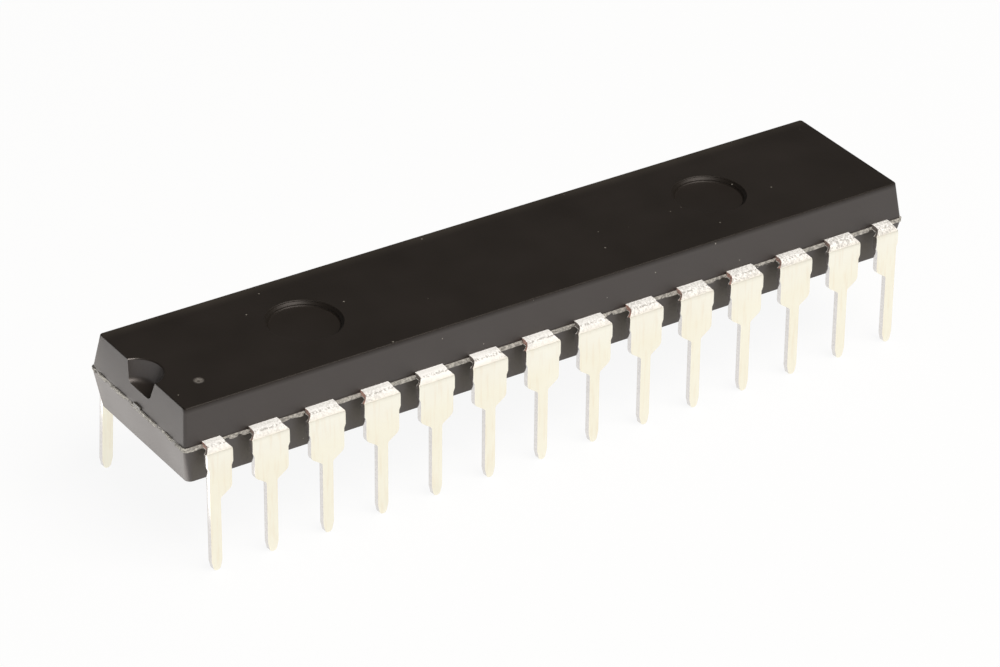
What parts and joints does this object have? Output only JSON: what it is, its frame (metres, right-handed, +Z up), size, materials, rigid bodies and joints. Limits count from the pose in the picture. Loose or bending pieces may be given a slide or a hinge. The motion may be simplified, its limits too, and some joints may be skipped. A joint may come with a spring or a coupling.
{
  "type": "dip integrated circuit chip",
  "caption": "Narrow dual in-line plastic package with a notched end, ejector marks, two rows of tinned leads bent down, and a die, paddle and bond wires inside",
  "frame": {"origin": "centre of the plan at the plane of the lead tips", "axes": "Z up out of the marked top face; X along the package, with the notched end at -X; lead 1 at the -X end of the -Y row"},
  "size_m": [0.035, 0.0088, 0.007],
  "materials": {
    "moulding": "matt black moulded epoxy",
    "tinned_lead": "matt tin plate over copper alloy",
    "lead_frame": "bare copper alloy strip",
    "adhesive": "silver filled adhesive",
    "silicon": "polished silicon",
    "gold_wire": "bright gold"
  },
  "bodies": {
    "root": {"body": "moulding", "lead_01": "tinned_lead", "lead_02": "tinned_lead", "lead_03": "tinned_lead", "lead_04": "tinned_lead", "lead_05": "tinned_lead", "lead_06": "tinned_lead", "lead_07": "tinned_lead", "lead_08": "tinned_lead", "lead_09": "tinned_lead", "lead_10": "tinned_lead", "lead_11": "tinned_lead", "lead_12": "tinned_lead", "lead_13": "tinned_lead", "lead_14": "tinned_lead", "lead_15": "tinned_lead", "lead_16": "tinned_lead", "lead_17": "tinned_lead", "lead_18": "tinned_lead", "lead_19": "tinned_lead", "lead_20": "tinned_lead", "lead_21": "tinned_lead", "lead_22": "tinned_lead", "lead_23": "tinned_lead", "lead_24": "tinned_lead", "lead_25": "tinned_lead", "lead_26": "tinned_lead", "lead_27": "tinned_lead", "lead_28": "tinned_lead", "die_paddle": "lead_frame", "die_attach": "adhesive", "die": "silicon", "bond_wires": "gold_wire"}
  },
  "joints": []
}
